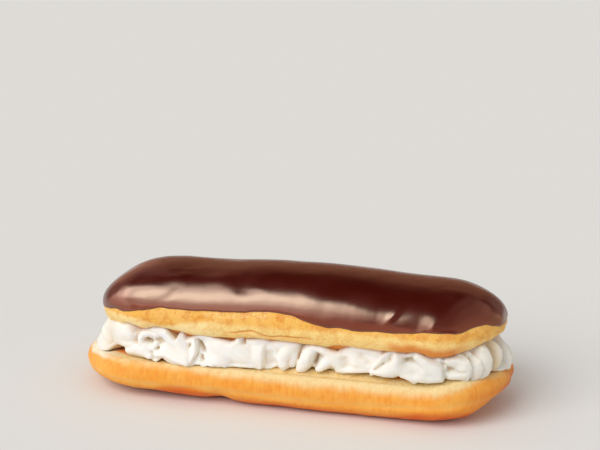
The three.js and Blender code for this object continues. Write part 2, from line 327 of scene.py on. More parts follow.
def makeBottomHalf(size):
    low, high, middle = nodeSize("bottom_half")
    length, width = high[0] - low[0], high[1] - low[1]
    half = width / 2
    spineEnd = (length - width) / 2
    ring = Ring(Outline(length, width, size["corner"]), size["points"], -spineEnd, spineEnd)
    belly = size["bellyHeight"] + climb(ring.x, *size["bellyLift"])
    cut = high[2] - climb(-ring.x, *size["leftDrop"])
    cut = cut + climb(ring.x, *size["rightLift"]) * ease(-ring.y, *size["liftFront"])
    footInset = mix(size["leftFootInset"], size["footInset"], ease(ring.x, *size["footChange"]))

    def foot(x):
        left = climb(-x, size["leftCurl"], -size["leftCurlFrom"], length / 2)
        right = climb(x, size["rightCurl"], size["rightCurlFrom"], length / 2)
        return left + right + climb(x, size["tipCurl"], size["tipCurlFrom"], length / 2 + 1)

    def inset(base, height):  # slow waver of the sides, the pale line and the pinch in the front
        fade = np.sin(np.pi * np.clip(height / cut, 0, 1))
        waver = size["waver"]
        for depth, number, phase in size["waves"]:
            waver = waver + depth * np.sin(2 * np.pi * number * ring.share + phase)
        line = bump(height, heightAlong(size["creaseHeight"], ring.x), size["creaseWidth"])
        front = np.where(ring.y < 0, 1 - ease(height, 1, belly), 0)
        pinch = size["pinchDepth"] * front * bump(ring.x, size["pinchAt"], size["pinchSpread"])
        sides = fade * waver * np.abs(np.sin(ring.turn))
        return (base + sides + size["creaseDepth"] * line + pinch) / half

    rings = [ring.drawIn(share, foot(mix(ring.x, ring.spineX, share))) for share in size["underMiddle"]]
    for turn in np.linspace(0, quarterTurn, size["footLayers"]):
        height = mix(belly, foot(ring.x), np.cos(turn))
        rings.append(ring.drawIn(inset(footInset * (1 - np.sin(turn)), height), height))
    for turn in np.linspace(0, quarterTurn, size["rimLayers"])[1:]:
        height = mix(belly, cut, np.sin(turn))
        rings.append(ring.drawIn(inset(size["rimInset"] * (1 - np.cos(turn)), height), height))
    shelf = np.linspace(size["rimInset"] / half, size["shelfEnd"], size["shelfLayers"])[1:]
    swell = size["shelfRise"] * within(ring.x, *size["shelfRiseAlong"]) * (ring.y < 0)
    rings += [ring.drawIn(share, cut + swell * ease(share * half, *size["shelfRiseIn"])) for share in shelf]
    rings += [ring.drawIn(share, cut) for share in size["topMiddle"]]
    inward = np.array([*shelf, *size["topMiddle"]])
    inward = np.pad(inward, (len(rings) - len(inward), 0))[:, None] * half  # 0 outside the cut face
    rings = np.array(rings)

    x, y, z = axes(rings)
    edge = heightAlong(size["ringFrom"], x, softness=2.0)
    edge = edge + roughen(rings, size["ringLumps"]) + roughen(rings * (1, 1, 0.3), size["ringStreaks"])
    pale = ease(z - edge, *size["ringFade"])
    smear = ease(z - cut + roughen(rings, size["smearLumps"]), *size["smearUp"])
    smear = smear * ease(-x, *size["smearAlong"])
    crumb = np.where(inward > 0, 1.0, 0 * x)
    # a shallow crease in the cut face, darkened along it with painted shade
    wrinkle = bump(inward + roughen(rings, size["wrinkleLumps"]), size["wrinkleIn"], size["wrinkleWidth"])
    wrinkle = crumb * wrinkle * (y < 0) * within(x, *size["wrinkleAlong"])
    line = heightAlong(size["creaseHeight"], x) + size["lineUp"]
    relief = roughen(rings, size["relief"]) + crumb * roughen(rings, size["crumbRelief"])
    relief = relief - size["wrinkleDepth"] * wrinkle
    rings = pushOut(rings, relief, len(size["underMiddle"]), len(size["topMiddle"]))
    rings[..., 2] = np.maximum(rings[..., 2], 0)
    rings[..., 0] += middle[0]

    x, _, z = axes(rings)
    # inside: painted shade on the cut face under the cream's overhang and arches
    insideFrom = mix(size["insideFrom"], size["insideDeep"], within(ring.x, *size["deepAlong"]))
    insideFrom = insideFrom - size["insideOut"] * within(ring.x, *size["outAlong"])
    inside = ease(inward - insideFrom, 0, size["insideFade"]) * ease(ring.x, *size["insideEnd"])
    lowTop = heightAlong(size["lowTop"], x)
    # darker towards the foot, then painted shade on the lower side of the right end
    darkerLowAndEndShade = 1 - ease(z - foot(x), lowTop - size["lowFade"], lowTop)
    darkerLowAndEndShade = np.maximum(darkerLowAndEndShade, climb(x, *size["endShade"]) * (1 - ease(z, *size["endShadeTop"])))
    marks = {
        "pale": np.maximum(pale, smear), "crumb": crumb, "low": darkerLowAndEndShade, "inside": inside, "smear": smear,
        "line": bump(z, line, size["lineWidth"]), "wrinkle": wrinkle,
    }
    return loftPiece("bottom_dough", rings, marks)


# Top half and its icing share the dome

lid = {
    "corner": 24.0, "points": 700,
    "spineLeft": -43.5, "spineRight": 43.5,
    "bellyHeight": 28.6,
    "lipInset": 2.6,  # widest line in to the lip
    "floorInset": 5.0,  # widest line in to the underside
    "lipLeast": 0.3,  # of the lip above the underside
    "underMiddle": (1, 0.7), "underBend": 0.4,  # hidden rings, as shares of the way in
    "floorLayers": 9, "lipLayers": 34,
    "domePower": 2.3,
    "closeTurns": 0.62, "closeLayers": 36, "domeLayers": 14,  # the dome's lower part has closer rings
    "crackWidth": 0.32, "crackStart": (-1, 5), "crackEnd": (-8, 3),  # from its first and its last place
    "lipHighlight": (-62, -54, -26, -14), "brownLip": (34, 42, 57, 64),  # x of the lip's painted highlight and of its darker orange band
    "goldFade": (-0.8, 1.0), "underFade": (-0.15, 0.35), "brownFade": (1.8, 4.6),
    "pitsAlong": (-26, -24, -4, -2), "pitsBelow": 1.0, "pitsHigh": 1.0,  # under the icing's edge
    "pitDepth": 0.15, "pitFade": (0, 0.4),
    # lumps as (height, size, seed)
    "relief": [(0.16, 8, 25), (0.13, 3, 26), (0.07, 1.2, 27)],
    "lipLumps": [(0.12, 2, 21)], "edgeLumps": [(0.16, 3.5, 31), (0.07, 1.5, 34)],
    "goldLumps": [(0.35, 5, 23), (0.25, 1.8, 24)], "brownLumps": [(0.5, 2.2, 28)],
    "crackLumps": [(0.1, 2.0, 22)], "pitLumps": [(1, 1.0, 30)],
    # heights along x: underside, lip, dome above the widest line, golden crust and the icing's edge
    "floorHeight": [
        (-72, 24.2), (-60, 23.6), (-36, 23.4), (-33, 22.6), (-29, 22.6), (-25, 23.3), (-19, 23.3),
        (-17, 22.6), (-12, 22.6), (-9, 23.5), (15, 23.5), (17, 22.4), (20, 22.4), (23, 23.5), (60, 23.4),
        (72, 25.0),
    ],
    "lipHeight": [
        (-68, 22.6), (-63, 23.6), (-57, 24.7), (-53, 25.9), (-47, 25.0), (-44, 25.7), (-41, 26.0),
        (-38, 25.5), (-33, 24.8), (-30, 24.2), (-22, 24.1), (-15, 24.3), (-12, 24.8), (-5, 24.9),
        (6, 24.7), (9, 24.3), (14, 24.3), (17.4, 23.9), (19, 24.8), (23, 25.0), (28, 24.6), (38, 24.5),
        (46, 24.7), (49, 24.5), (52, 23.4), (57, 23.7), (62, 24.8), (65, 26.0), (67.5, 27.1), (72, 28.4),
    ],
    "crown": [
        (-69, 8.0), (-63, 10.4), (-57, 11.3), (-52, 11.2), (-44, 11.1), (-28, 11.1), (-20, 11.8),
        (-12, 12.5), (6, 12.7), (16, 12.3), (26, 11.7), (34, 10.8), (42, 10.4), (50, 10.2), (60, 10.4),
        (70, 10.6),
    ],
    "goldFrom": [
        (-72, 30.4), (-64, 29.4), (-56, 28.6), (-48, 28.5), (-44, 28.2), (-41, 26.6), (-37.5, 26.2),
        (-35.5, 27.8), (-32, 28.6), (-22, 29.5), (0, 29.6), (24, 30.0), (45, 29.6), (60, 29.0),
        (72, 28.6),
    ],
    "icingEdge": [
        (-69, 28.0), (-65, 28.2), (-57, 30.6), (-54, 30.3), (-48, 31.5), (-43, 32.4), (-40, 33.2),
        (-36, 32.9), (-29, 32.9), (-22, 33.2), (-12, 33.6), (-7, 34.1), (-1, 34.5), (5.6, 33.9),
        (7.6, 33.1), (12.5, 32.0), (17.5, 31.3), (21.4, 31.5), (26, 30.9), (33, 31.3), (38, 31.2),
        (45, 31.7), (49, 32.2), (54, 32.0), (58, 31.8), (61, 32.0), (64.6, 33.0), (68.7, 32.9),
        (72, 30.3),
    ],
    "cracks": [  # lines along x and height, each with its depth
        (0.36, [
            (-17.6, 26.5), (-13, 27.0), (-10.4, 27.6), (-7.7, 28.1), (-5.9, 27.3), (-3.8, 26.5),
            (-1.5, 26.3), (2, 26.9), (8.7, 27.0), (14.5, 27.0),
        ]),
        (0.1, [(-53, 27.2), (-49, 27.7), (-46, 28.4), (-42, 29.3), (-37, 29.5)]),
    ],
}
lidLow, lidHigh, lidMiddle = nodeSize("top_half")
lidLength, lidWidth = lidHigh[0] - lidLow[0], lidHigh[1] - lidLow[1]
lidOutline = Outline(lidLength, lidWidth, lid["corner"])
lidRing = Ring(lidOutline, lid["points"], lid["spineLeft"], lid["spineRight"])
lidX = lidRing.x + lidMiddle[0]
lidPlaces = np.stack([lidX, lidRing.y, 0 * lidX], -1)


def domeShare(turn):  # of the way in, from turn 0 at the widest line to a quarter turn at the crown
    return 1 - np.maximum(np.cos(turn), 0) ** (2 / lid["domePower"])


def domePlace(turn):  # x on the dome
    return mix(lidRing.x, lidRing.spineX, domeShare(turn)) + lidMiddle[0]


def domeRise(turn):  # of the crown above the widest line
    return heightAlong(lid["crown"], domePlace(turn), softness=5.0)


def domePoint(turn, lift):
    half, root = lidWidth / 2, 2 / lid["domePower"]
    cos, sin = np.maximum(np.cos(turn), 0), np.maximum(np.sin(turn), 0)
    rise = domeRise(turn)
    across, up = cos ** (2 - root) / half, sin ** (2 - root) / rise
    size = np.hypot(across, up)
    share = domeShare(turn) - lift * across / size / half
    return lidRing.drawIn(share, lid["bellyHeight"] + rise * sin ** root + lift * up / size)


def domeTurn(height):
    turn = 0 * lidRing.x
    for _ in range(4):
        share = np.clip((height - lid["bellyHeight"]) / domeRise(turn), 0, 1)
        turn = np.arcsin(share ** (lid["domePower"] / 2))
    return turn


icingHeight = heightAlong(lid["icingEdge"], lidX, softness=1.0) + roughen(lidPlaces, lid["edgeLumps"])


def makeLid(size):
    half, belly = lidWidth / 2, size["bellyHeight"]
    lip = heightAlong(size["lipHeight"], lidX, softness=0.8) + roughen(lidPlaces, size["lipLumps"])
    floor = np.minimum(heightAlong(size["floorHeight"], lidX, softness=1.0), lip - size["lipLeast"])
    rings = [lidRing.drawIn(share, lidLow[2]) for share in size["underMiddle"]]
    rings.append(lidRing.drawIn(size["underBend"], mix(lidLow[2], floor, 0.5)))
    hidden = len(rings)
    for share in np.linspace(0, 1, size["floorLayers"])[:-1]:
        inset = mix(size["floorInset"], size["lipInset"], share)
        rings.append(lidRing.drawIn(inset / half, mix(floor, lip, ease(share, 0, 1))))
    for turn in np.linspace(0, quarterTurn, size["lipLayers"])[:-1]:
        height = mix(belly, lip, np.cos(turn))
        rings.append(lidRing.drawIn(size["lipInset"] * (1 - np.sin(turn)) / half, height))
    closeTurns = np.linspace(0, size["closeTurns"], size["closeLayers"])[:-1]
    for turn in (*closeTurns, *np.linspace(size["closeTurns"], quarterTurn, size["domeLayers"])):
        rings.append(domePoint(np.full(size["points"], turn), 0))
    rings = np.array(rings) + (lidMiddle[0], 0, 0)

    x, y, z = axes(rings)
    front = np.where(y < 0, 1, 0)
    crack = 0 * x
    # each crack is a shallow groove, with painted shade along it
    for depth, places in size["cracks"]:
        line = heightAlong(places, x, softness=0.8) + roughen(rings, size["crackLumps"])
        start, end = places[0][0], places[-1][0]
        along = ease(x - start, *size["crackStart"]) * (1 - ease(x - end, *size["crackEnd"]))
        crack = np.maximum(crack, depth * along * front * bump(z, line, size["crackWidth"]))
    goldFrom = heightAlong(size["goldFrom"], x) + roughen(rings, size["goldLumps"])
    gold = ease(z - goldFrom, *size["goldFade"])
    pits = bump(z, icingHeight - size["pitsBelow"], size["pitsHigh"])
    pits = front * within(x, *size["pitsAlong"]) * pits
    # a painted highlight on the front left of the lid, below the golden crust
    lipHighlight = (1 - gold) * front * within(x, *size["lipHighlight"])
    brown = front * within(x, *size["brownLip"])
    lowLip = roughen(rings, size["brownLumps"])
    relief = roughen(rings, size["relief"]) - crack
    relief = relief - size["pitDepth"] * pits * ease(roughen(rings, size["pitLumps"]), *size["pitFade"])
    rings = pushOut(rings, relief, hidden, 1)

    z = rings[..., 2]
    # painted shade on the lip's edge and inner slope, seen in the gaps above the cream; brown darkens the
    # lower band on the right front
    under = 1 - ease(z - lip, *size["underFade"])
    brown = brown * (1 - ease(z - lip + lowLip, *size["brownFade"]))
    marks = {"gold": gold, "crack": crack, "under": np.maximum(under, brown), "pits": pits, "lip": lipHighlight}
    return loftPiece("lid_dough", rings, marks)


icing = {
    "thickness": 1.45,
    "edgeThickness": 0.28,
    "endShare": 0.4, "endFrom": -69.0, "endTo": 72.0, "endReach": 16.0,  # thinner towards the two ends
    "taper": 0.7, "taperPower": 1.6,  # radians of the dome over which it gets its full thickness
    "sunk": 0.15,  # into the dough, so that no gap shows
    "edgeTurn": 0.03, "edgeTuck": 0.02,  # radians that the rounded edge takes, and that it tucks under
    "edgePower": 4, "edgeFade": 3.0,  # roundness of the edge, and height of its lighter colour
    "underLayers": 10, "edgeLayers": 6, "layers": 64, "layerPower": 1.25,  # rings closer near the edge
    "relief": [(0.10, 13, 32), (0.04, 6, 33)],  # lumps as (height, size, seed)
    "reliefUp": (0.1, 1.5),  # above the edge, from none of the relief to all of it
    "calm": (0.6, -2, 14),  # share of the lumps that is lost towards the right
    "dullAt": -39.4, "dullWidth": 1.8, "dullUp": (1.4, 3.4, 5.0, 7.0),  # a less glossy fold
    "dullSlant": 0.95, "dullLevel": 36.0,  # its lean to the right with height, about that height
    "grooves": [(-38.9, 0.16, 2.2, 1.0), (15.6, 0.15, 4.2, 0.3)],  # x, depth, spread, slant
    "grooveLevel": 35.0, "grooveFront": (9, 15), "grooveUp": (1.5, 4.5),
    "dents": [(-13.2, -18.6, 0.44, 3.1)],  # x, y, depth, spread
    "dentRight": 1.4, "dentBack": 2.4,  # longer slopes to the right and towards the back
    # x, height, rise, spread along x and in height, lean to the right with height
    "bumps": [(38.4, 36.2, 0.38, 1.3, 2.0, 0.9), (47.2, 35.0, -0.24, 3.4, 2.6, 0.3),
              (51.2, 33.3, 0.21, 1.1, 1.6, 0.4)],
    "shoulder": 0.42, "shoulderAlong": (-46, -36, -23, -17),  # along the front, at the left
    "shoulderY": -13.2, "shoulderSpread": 4.0,
}


def makeIcing(size):
    edge = icingHeight
    start = domeTurn(edge)
    first = start + size["edgeTurn"]
    rings = []
    for climbed in np.linspace(1, 0, size["underLayers"]):
        rings.append(domePoint(mix(start, quarterTurn, climbed), -size["sunk"]))
    for swing in np.linspace(0, quarterTurn, size["edgeLayers"])[1:]:  # the rounded edge
        lift = mix(-size["sunk"], size["edgeThickness"], np.sin(swing))
        tuck = size["edgeTuck"] * (1 - np.cos(swing))
        rings.append(domePoint(start - tuck + size["edgeTurn"] * np.sin(swing) ** size["edgePower"], lift))
    hidden = len(rings) + 1
    for climbed in np.linspace(0, 1, size["layers"])[1:] ** size["layerPower"]:
        turn = mix(first, quarterTurn, climbed)
        fromEnd = np.minimum(domePlace(turn) - size["endFrom"], size["endTo"] - domePlace(turn))
        full = size["thickness"] * mix(size["endShare"], 1, ease(fromEnd, 0, size["endReach"]))
        rise = 1 - (1 - np.clip((turn - first) / size["taper"], 0, 1)) ** size["taperPower"]
        rings.append(domePoint(turn, mix(size["edgeThickness"], full, rise)))
    rings = np.array(rings) + (lidMiddle[0], 0, 0)

    x, y, z = axes(rings)
    front = np.where(y < 0, 1, 0)
    relief = roughen(rings, size["relief"]) * (1 - climb(x, *size["calm"]))
    for place, depth, spread, slant in size["grooves"]:
        reach = ease(-y, *size["grooveFront"]) * ease(z - edge, *size["grooveUp"])
        leaning = x - slant * (z - size["grooveLevel"])
        relief = relief - depth * front * reach * bump(leaning, place, spread)
    for place, across, depth, spread in size["dents"]:
        wide = np.where(x > place, size["dentRight"] * spread, spread)
        reach = np.where(y > across, size["dentBack"] * spread, spread)
        relief = relief - depth * bump(x, place, wide) * bump(y, across, reach)
    for place, height, rise, spread, tall, lean in size["bumps"]:
        leaning = x - place - lean * (z - height)
        relief = relief + rise * front * bump(leaning, 0, spread) * bump(z, height, tall)
    shoulder = within(x, *size["shoulderAlong"]) * bump(y, size["shoulderY"], size["shoulderSpread"])
    relief = relief + size["shoulder"] * shoulder
    rings = pushOut(rings, relief * ease(z - edge, *size["reliefUp"]), hidden)

    x, _, z = axes(rings)
    leaning = x - size["dullSlant"] * (z - size["dullLevel"])
    dull = front * bump(leaning, size["dullAt"], size["dullWidth"]) * within(z - edge, *size["dullUp"])
    return loftPiece("icing_skin", rings, {"edge": 1 - ease(z - edge, 0, size["edgeFade"]), "dull": dull})


# Cream: strokes of the nozzle laid over one another on a wall round a solid middle

cream = {
    "length": 138.5, "width": 45.0, "corner": 20.5,  # the line that the cream is piped along
    "shiftX": 2.0,
    "frontFrom": -82.0, "frontTo": 92.0,  # along that line, closely set columns
    "frontStep": 0.17, "backStep": 0.8, "rows": 56,
    "reliefFrom": -2.6, "reliefTo": 14.7, "reliefStep": 0.2,  # up from the cut face
    "sunk": 0.1,  # into the dough below
    "footRound": 0.9, "headRound": 1.3,
    "meet": 0.4,  # how softly two strokes run together
    "innerHead": 11.0, "innerOut": -9.0, "spineReach": 46.0,  # of the hidden middle, inside the lid
    "footIn": (0.6, 2.6), "headIn": (1.0, 2.0), "neckOut": -5.5, "neckUp": 0.6,
    "greyShade": (28, 40, 84, 92),  # along, painted shade on the side turned from the light
    "flare": 3.2, "flareUp": (-0.5, 6.5), "flareAlong": (-51, -43, -23, -17),  # foot spread towards the rim
    "softPasses": 2, "hollowPasses": 60, "hollowDepth": 2.0,
    "shaded": [(-63, 6, 0.4), (70.2, 2.2, 0.8), (66, 16, 0.2), (44, 8, 0.12)],  # along, spread, share
    "relief": [(0.10, 2.6, 41), (0.05, 1.1, 42)],  # lumps as (height, size, seed)
}

# The wall behind the strokes as (up, out): up from the cut face and out from the piping line
creamWall = {
    "left": [(0, 0.6), (3, 0.4), (14, -0.8)],
    "right": [(0, -3.4), (1.5, -2.0), (3, -0.5), (14, -0.6)],
    "rightEnd": [(0, 2.4), (3, 3.0), (6, -0.2), (10, -5.5), (14, -7.5)],
    "leftEnd": [(-2, 4.6), (0, 4.2), (1.5, 3.4), (3, 2.4), (4.5, 1.6), (7.5, -0.4), (12, -2.6)],
}
wallAlong = {"right": (-6, 6, 100, 110), "rightEnd": (66, 74, 98, 106), "leftEnd": (-104, -96, -68, -60)}

# Each stroke: depth of its round, its (along, up, out, width) places and, where its two sides differ, their
# shares of the width. Along runs from the middle of the front, and the second side is the right of a stroke
# laid downwards.
creamStrokes = {
    "leftBody": (2.4, [(-64.4, 9.9, 0.6, 2.4), (-64, 7, 2, 3), (-65.5, 3.6, 2.6, 2.6), (-70, 0, 2.6, 2)]),
    "leftFold": (1.6, [(-79, 10.4, -1.4, 2), (-78.6, 7, 0.6, 2.2), (-78.2, 3.4, 2.6, 2)]),
    "leftBack": (1.6, [(244.4, 10.4, -1.4, 2.2), (244.8, 7, 0.8, 2.4), (245.2, 3, 3, 2.2)]),
    "leftCheek": (2, [(-73.5, 9.6, -0.8, 2.4), (-70.5, 8.4, 0.6, 2.6), (-67.5, 7.2, 1.8, 2.2)]),
    "leftChin": (1.8, [(-76, 5, 1.8, 2), (-72.4, 4.4, 2.6, 2.2), (-68.6, 4.2, 2.8, 2)]),
    "leftSmear": (1.2, [
        (-79, 0, 4.4, 1.8), (-74, -0.2, 4.4, 1.8), (-69, -0.2, 3.8, 1.5), (-65.5, 0, 2.8, 1.2)]),
    "lobe": (2.2, [(-62.5, 8.6, 2.2, 4), (-58.6, 8.4, 3.2, 4.4), (-55.4, 8.8, 3.4, 3.6)], (1, 0.8)),
    "lobeFoot": (1.8, [(-60, 5.4, 2.4, 2.4), (-57, 5.2, 2.6, 2.2), (-53.6, 4.8, 2.6, 1.8)]),
    "lowerLobe": (2.2, [
        (-55, 2.2, 2.2, 1.8), (-51.8, 3.4, 3, 2.2), (-49.2, 3.1, 3.2, 2.4), (-47.3, 2, 2.6, 1.8)]),
    "curl": (1.8, [
        (-44.5, 9.1, 2.6, 1.3), (-46.6, 9.7, 2.8, 1.3), (-48.8, 9.1, 2.8, 1.4), (-49.8, 7.6, 2.8, 1.4),
        (-49.5, 5.8, 2.8, 1.5), (-47.5, 4.6, 2.8, 1.6), (-45, 5.2, 2.8, 1.6)]),
    "curlFill": (1.4, [(-48.2, 7.4, 1.5, 1.3), (-46.2, 6.9, 1.7, 1.3)]),
    "crest": (2.6, [
        (-48.7, 10.3, 1, 1.6), (-44.5, 11, 2.4, 2.4), (-41, 10.6, 3.2, 3), (-38.5, 8.8, 3.4, 3),
        (-36.2, 6.1, 3.2, 2.8), (-34, 3.1, 3, 2.6)]),
    "crestLow": (2.2, [
        (-44, 3.3, 2.4, 1.8), (-40.5, 4.6, 3.2, 2.6), (-37, 3.2, 3.2, 2.4), (-33.3, 1.6, 2.8, 1.8)]),
    "smallPeak": (1.6, [(-35.6, 11.6, 0.6, 0.9), (-35.6, 9.3, 2, 1.3), (-35, 6.4, 2.6, 2)]),
    "ridge": (2.4, [
        (-34, 7.9, 1.6, 2), (-31, 9.2, 2.6, 2.6), (-30, 7.5, 3.4, 3), (-30.2, 4.5, 3.2, 3),
        (-31.8, 1.1, 2, 2.6)], (1, 0.18)),
    "ridgeFill": (1.4, [(-28.3, 8.6, 1.4, 1.5), (-28, 5, 1.5, 1.5), (-28.3, 2, 1, 1.3)]),
    "ridgeTop": (1.6, [
        (-33.4, 8.1, 1, 1.2), (-30.3, 10, 1.6, 1.3), (-27.6, 10.2, 2, 1.5), (-25, 10, 2.2, 1.6)]),
    "swoosh": (2.6, [
        (-25.5, 8.9, 2.2, 2.2), (-22.4, 7.4, 3.2, 3.6), (-17.8, 5.8, 3.4, 4), (-13.5, 4.3, 3, 3.6),
        (-10.5, 3.3, 2.4, 2.8)]),
    "swooshLeg": (1.8, [(-25.6, 7, 2.3, 1.8), (-25.2, 4, 1.9, 2.1), (-24.6, 1.6, 1.7, 1.9)]),
    "swooshFill": (1.8, [(-24.6, 6.4, 2.6, 2.8), (-22.6, 4, 2.6, 3), (-19.4, 2.6, 2.4, 2.6)]),
    "swooshTop": (2, [
        (-25, 9.6, 2.2, 1.8), (-20.8, 8.7, 2.6, 2.2), (-16.7, 7.7, 2.6, 2.2), (-12, 6.8, 1.8, 2.2)]),
    "swooshFoot": (1.2, [(-19.8, 0.8, 2, 1), (-14.7, 1, 2.4, 1.1), (-9.6, 1.2, 2.2, 1)]),
    "bud": (1.8, [(-16.5, 8.6, 2, 1.3), (-15, 10.2, 2.8, 1.6), (-14.5, 10.8, 1.6, 1.5)]),
    "topRun": (1.6, [(-12.4, 9.2, 1.6, 1.5), (-9.3, 9.5, 1.8, 1.6), (-6, 9.6, 1.2, 1.4)]),
    "leftRib": (2.2, [
        (-6.7, 9.2, 1.2, 3.4), (-7.3, 7.2, 2.6, 4.4), (-7.5, 4.4, 2.8, 4.4),
        (-7.6, 1.2, 2, 3.6)], (1, 0.25)),
    "ribFace": (1.6, [(-4.6, 8, 1.2, 2.4), (-4.4, 5, 1.5, 2.4), (-4, 2.4, 1, 2)]),
    "rightTop": (1.8, [
        (-5.5, 8.8, 0.6, 1.6), (-1.9, 9, 1.2, 2), (1.9, 10, 1.4, 1.6), (4.2, 10.4, 0.8, 1.2)]),
    "rightRib": (2, [
        (3, 9.8, 1.4, 2), (0.4, 7.3, 2, 2.6), (-1.3, 4.4, 2.2, 2.4), (-0.6, 2, 2.2, 1.8),
        (-0.2, 0.3, 1.2, 1.4)], (0.7, 1.2)),
    "rightFace": (1.6, [(3, 8.2, 0.8, 2), (2.5, 5.4, 0.8, 2.2), (2, 2.7, 0.4, 1.8)]),
    "slantRib": (2.2, [
        (9, 9.7, 1.4, 1.8), (8.9, 8.3, 2.6, 2.2), (7.8, 5.5, 2.8, 2.3), (6.2, 2.3, 2, 2),
        (5.5, 0.9, 1.2, 1.8)]),
    "archTop": (1.8, [
        (9.3, 9.6, 2.2, 1.6), (12, 9.5, 2.2, 1.8), (15, 8.4, 2, 2.2), (18.2, 6.7, 1.4, 2.4)]),
    "archLeg": (2, [(15.9, 6.2, 1.6, 2.4), (13.9, 3.9, 1.6, 2), (11.8, 1.8, 1.2, 1.4)]),
    "archBody": (2, [(15.3, 6.9, 1.8, 2.4), (17.9, 4.6, 1.4, 2.6), (19.8, 2.5, 0.8, 2)]),
    "runTop": (1.8, [
        (21, 8.9, 0.8, 1.6), (23.8, 10.4, 1.4, 1.8), (27.5, 10, 1.4, 1.8), (31.7, 9.2, 1, 1.6)]),
    "runFoot": (1.6, [
        (18.4, 2.3, 0.8, 1.6), (22.6, 2.5, 1.2, 1.4), (26.2, 2.9, 1.2, 1.4), (29.2, 3.5, 1, 1.4)]),
    "runBody": (1.8, [
        (18.6, 5.4, 1.2, 3.2), (22.6, 6.2, 1.6, 3.8), (27, 6.4, 1.6, 3.8), (31, 6, 1.4, 3.2)]),
    "drapeEdge": (2, [
        (29.3, 2.6, 1.6, 1.6), (31, 5.8, 2.2, 2), (33.3, 8.4, 2.2, 2.2), (35.4, 10.2, 1.8, 1.8),
        (36.6, 10.7, 0.8, 1.2)], (1, 0.35)),
    "drapeFlap": (2.4, [
        (30.3, 2.8, 1.8, 1.4), (33.2, 3.5, 3, 2.3), (36.2, 4.3, 3.4, 2.8), (38.4, 5.5, 3.2, 2.8)]),
    "drapeCrest": (2.2, [
        (36.7, 11.4, 0.6, 0.9), (37.5, 9.6, 2.4, 1.6), (38, 7.5, 3.2, 2.2), (38, 5, 3.2, 2.4)]),
    "drapeTop": (1.6, [
        (38.2, 9.5, 1.8, 1.2), (40, 9.2, 1.4, 1.4), (42, 10.2, 1.6, 1.4), (43.5, 11.8, 0.6, 0.9)]),
    "drapeMiddle": (2.4, [
        (37, 5, 3.3, 2.6), (40.4, 4.8, 2.9, 2.6), (43.6, 4.6, 3, 2.6), (47, 4.8, 3.3, 2.8)]),
    "drapePeak": (2.6, [
        (43.5, 11.8, 0.8, 1), (44.7, 10, 2.6, 2.2), (47, 8.4, 3.2, 3.2), (49.7, 6.3, 3.4, 3.6),
        (51.4, 4.4, 3.2, 3)]),
    "drapeSlope": (2, [
        (45, 10.2, 2.2, 1.6), (47.9, 9.6, 2.4, 2), (50.4, 8.2, 2.6, 2.2), (52, 5.9, 2.6, 2)]),
    "drapeFoot": (2, [
        (40, 3, 2.6, 1.4), (42.4, 2.8, 3.2, 1.7), (44.7, 2.8, 3.4, 2), (48.6, 3, 3.2, 2.2),
        (52.2, 3, 3, 1.6)]),
    "drapeTail": (1.2, [(42.8, 2.5, 3.2, 1.2), (44, 1, 2.6, 1)]),
    "cornerTop": (2.2, [(53.8, 9, 1.8, 2.4), (56.9, 9.2, 2.6, 3.4), (59.3, 8.7, 3.4, 3)], (1, 0.25)),
    "cornerFoot": (1.6, [(54.3, 3.6, 2, 1.5), (57, 3.8, 2.8, 1.7), (59.8, 4, 3.2, 1.7)]),
    "cornerEdge": (2.4, [
        (59, 10.2, 1, 3), (60, 9.2, 3.4, 3.6), (60.7, 7, 4, 4), (60.7, 4, 3.6, 3.6),
        (60.2, 1.7, 2.4, 2.6)], (1, 0.12)),
    "petalTwo": (2.2, [
        (62.5, 10, 1, 3), (63.5, 8.8, 3.6, 3.4), (64.2, 6.4, 4.2, 3.8), (64, 3.9, 3.8, 3.4),
        (63.4, 1.9, 2.6, 2.6)], (1, 0.12)),
    "petalThree": (2.4, [
        (67.9, 12.4, -0.4, 2.6), (67, 11.2, 2.8, 3.4), (67.2, 8.5, 4.2, 4), (67, 5.8, 4.4, 4),
        (66.3, 2.9, 3.4, 3)], (1, 0.12)),
    "petalFour": (1.6, [
        (70.5, 13.6, 0, 1.2), (72.2, 11.6, 1.6, 1.7), (73.2, 9.7, 2.6, 1.9), (72.9, 6.9, 3.2, 1.9),
        (71.2, 4.9, 3.2, 1.7)], (1, 0.3)),
    "petalFive": (2.4, [
        (80, 12.5, -1.5, 3), (79.6, 9.2, 1.5, 3.6), (79.2, 6.6, 3.2, 4), (79, 5, 4.1, 4.2),
        (78.6, 2.2, 3.6, 3.4)], (0.4, 1)),
    "petalSix": (2.4, [
        (89, 10, -5.6, 3), (87.5, 7, -1.2, 3.4), (86, 4, 3.2, 3.6), (85.5, 2, 3.8, 3.2)], (0.3, 1)),
    "petalSeven": (2.4, [
        (96, 10, -5.6, 3), (94.5, 7, -1.2, 3.4), (93, 4, 3.0, 3.6), (92.5, 2, 3.6, 3.2)], (0.3, 1)),
}
backPetals = {
    "from": 101.0, "to": 243.0, "narrowest": 4.6, "widest": 6.4, "out": 2.5, "width": 4.2,
    "depth": 2.4, "sides": (1, 0.12), "uneven": (-0.5, 0.6), "seed": 17,
    "path": [(-1.6, 12.5, -2.4), (0, 8, 0), (0.2, 5, 0), (-1.2, 0.5, -1.6)],  # along, up, out
}

